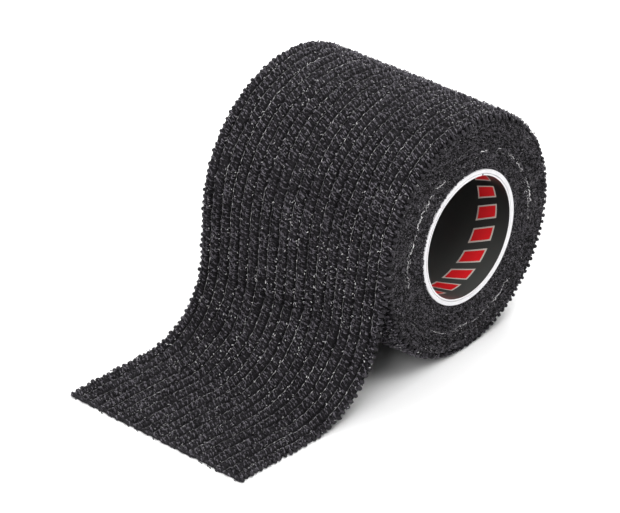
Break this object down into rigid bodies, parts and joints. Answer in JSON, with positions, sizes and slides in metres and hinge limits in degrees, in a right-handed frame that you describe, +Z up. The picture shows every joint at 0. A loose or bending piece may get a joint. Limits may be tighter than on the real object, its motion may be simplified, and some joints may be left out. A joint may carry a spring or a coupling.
{
  "type": "grip tape roll",
  "caption": "Roll of black stretch crepe grip tape on a white core tube with a glossy black liner, its free end peeled off and lying on the floor.",
  "frame": {"origin": "on the floor, at the centre of the flat that the last turn rests on, straight under the roll's axis", "axes": "+Z up, +Y along the roll's axis towards the end that faces away, -X towards the free end of the tape"},
  "size_m": [0.0977, 0.0531, 0.0539],
  "materials": {
    "white_core": "matt moulded tube",
    "black_liner": "glossy film",
    "wound_crepe": "felted edges of wound tape",
    "crepe_tape": "ribbed crepe"
  },
  "bodies": {
    "last_turn": {"outer_turn": "crepe_tape"},
    "roll": {"core_tube": "white_core", "core_liner": "black_liner", "wound_turns": "wound_crepe"},
    "drop": {"tail_drop": "crepe_tape"},
    "end": {"tail_end": "crepe_tape"}
  },
  "joints": [
    {"name": "roll_turn", "type": "hinge", "parent": "last_turn", "child": "roll", "pos_m": [0, 0, 0.0267], "axis": [0, -1, 0], "continuous": true},
    {"name": "peel_lift", "type": "hinge", "parent": "last_turn", "child": "drop", "pos_m": [-0.02646, 0, 0.03023], "axis": [0, 1, 0], "range_deg": [0, 80]},
    {"name": "end_fold", "type": "hinge", "parent": "drop", "child": "end", "pos_m": [-0.04745, 0.00138, 0.0005], "axis": [0.0872, 0.9962, 0], "range_deg": [-80, 85]}
  ]
}
